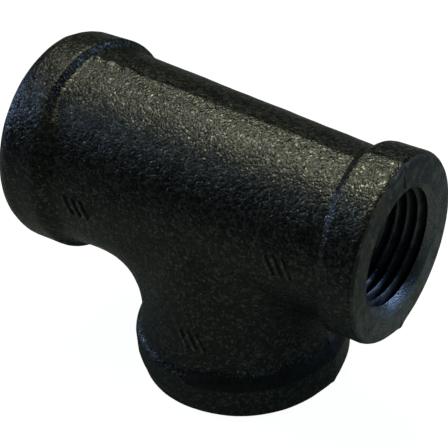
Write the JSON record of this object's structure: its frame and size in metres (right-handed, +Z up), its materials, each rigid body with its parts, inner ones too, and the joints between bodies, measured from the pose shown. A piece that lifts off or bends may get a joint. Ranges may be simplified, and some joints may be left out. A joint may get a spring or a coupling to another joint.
{
  "type": "pipe tee",
  "caption": "Black malleable-iron threaded pipe tee, reducing on the run, with a banded socket at each port.",
  "frame": {"origin": "centre of the branch port's machined end face, on which the fitting stands", "axes": "+X along the run towards the small port, +Z up from the branch face to the run, +Y completes the right hand"},
  "size_m": [0.065, 0.0366, 0.0511],
  "materials": {
    "cast_iron": "as-cast black oxide, machined at the faces and threads"
  },
  "bodies": {
    "root": {"tee_body": "cast_iron"}
  },
  "joints": []
}
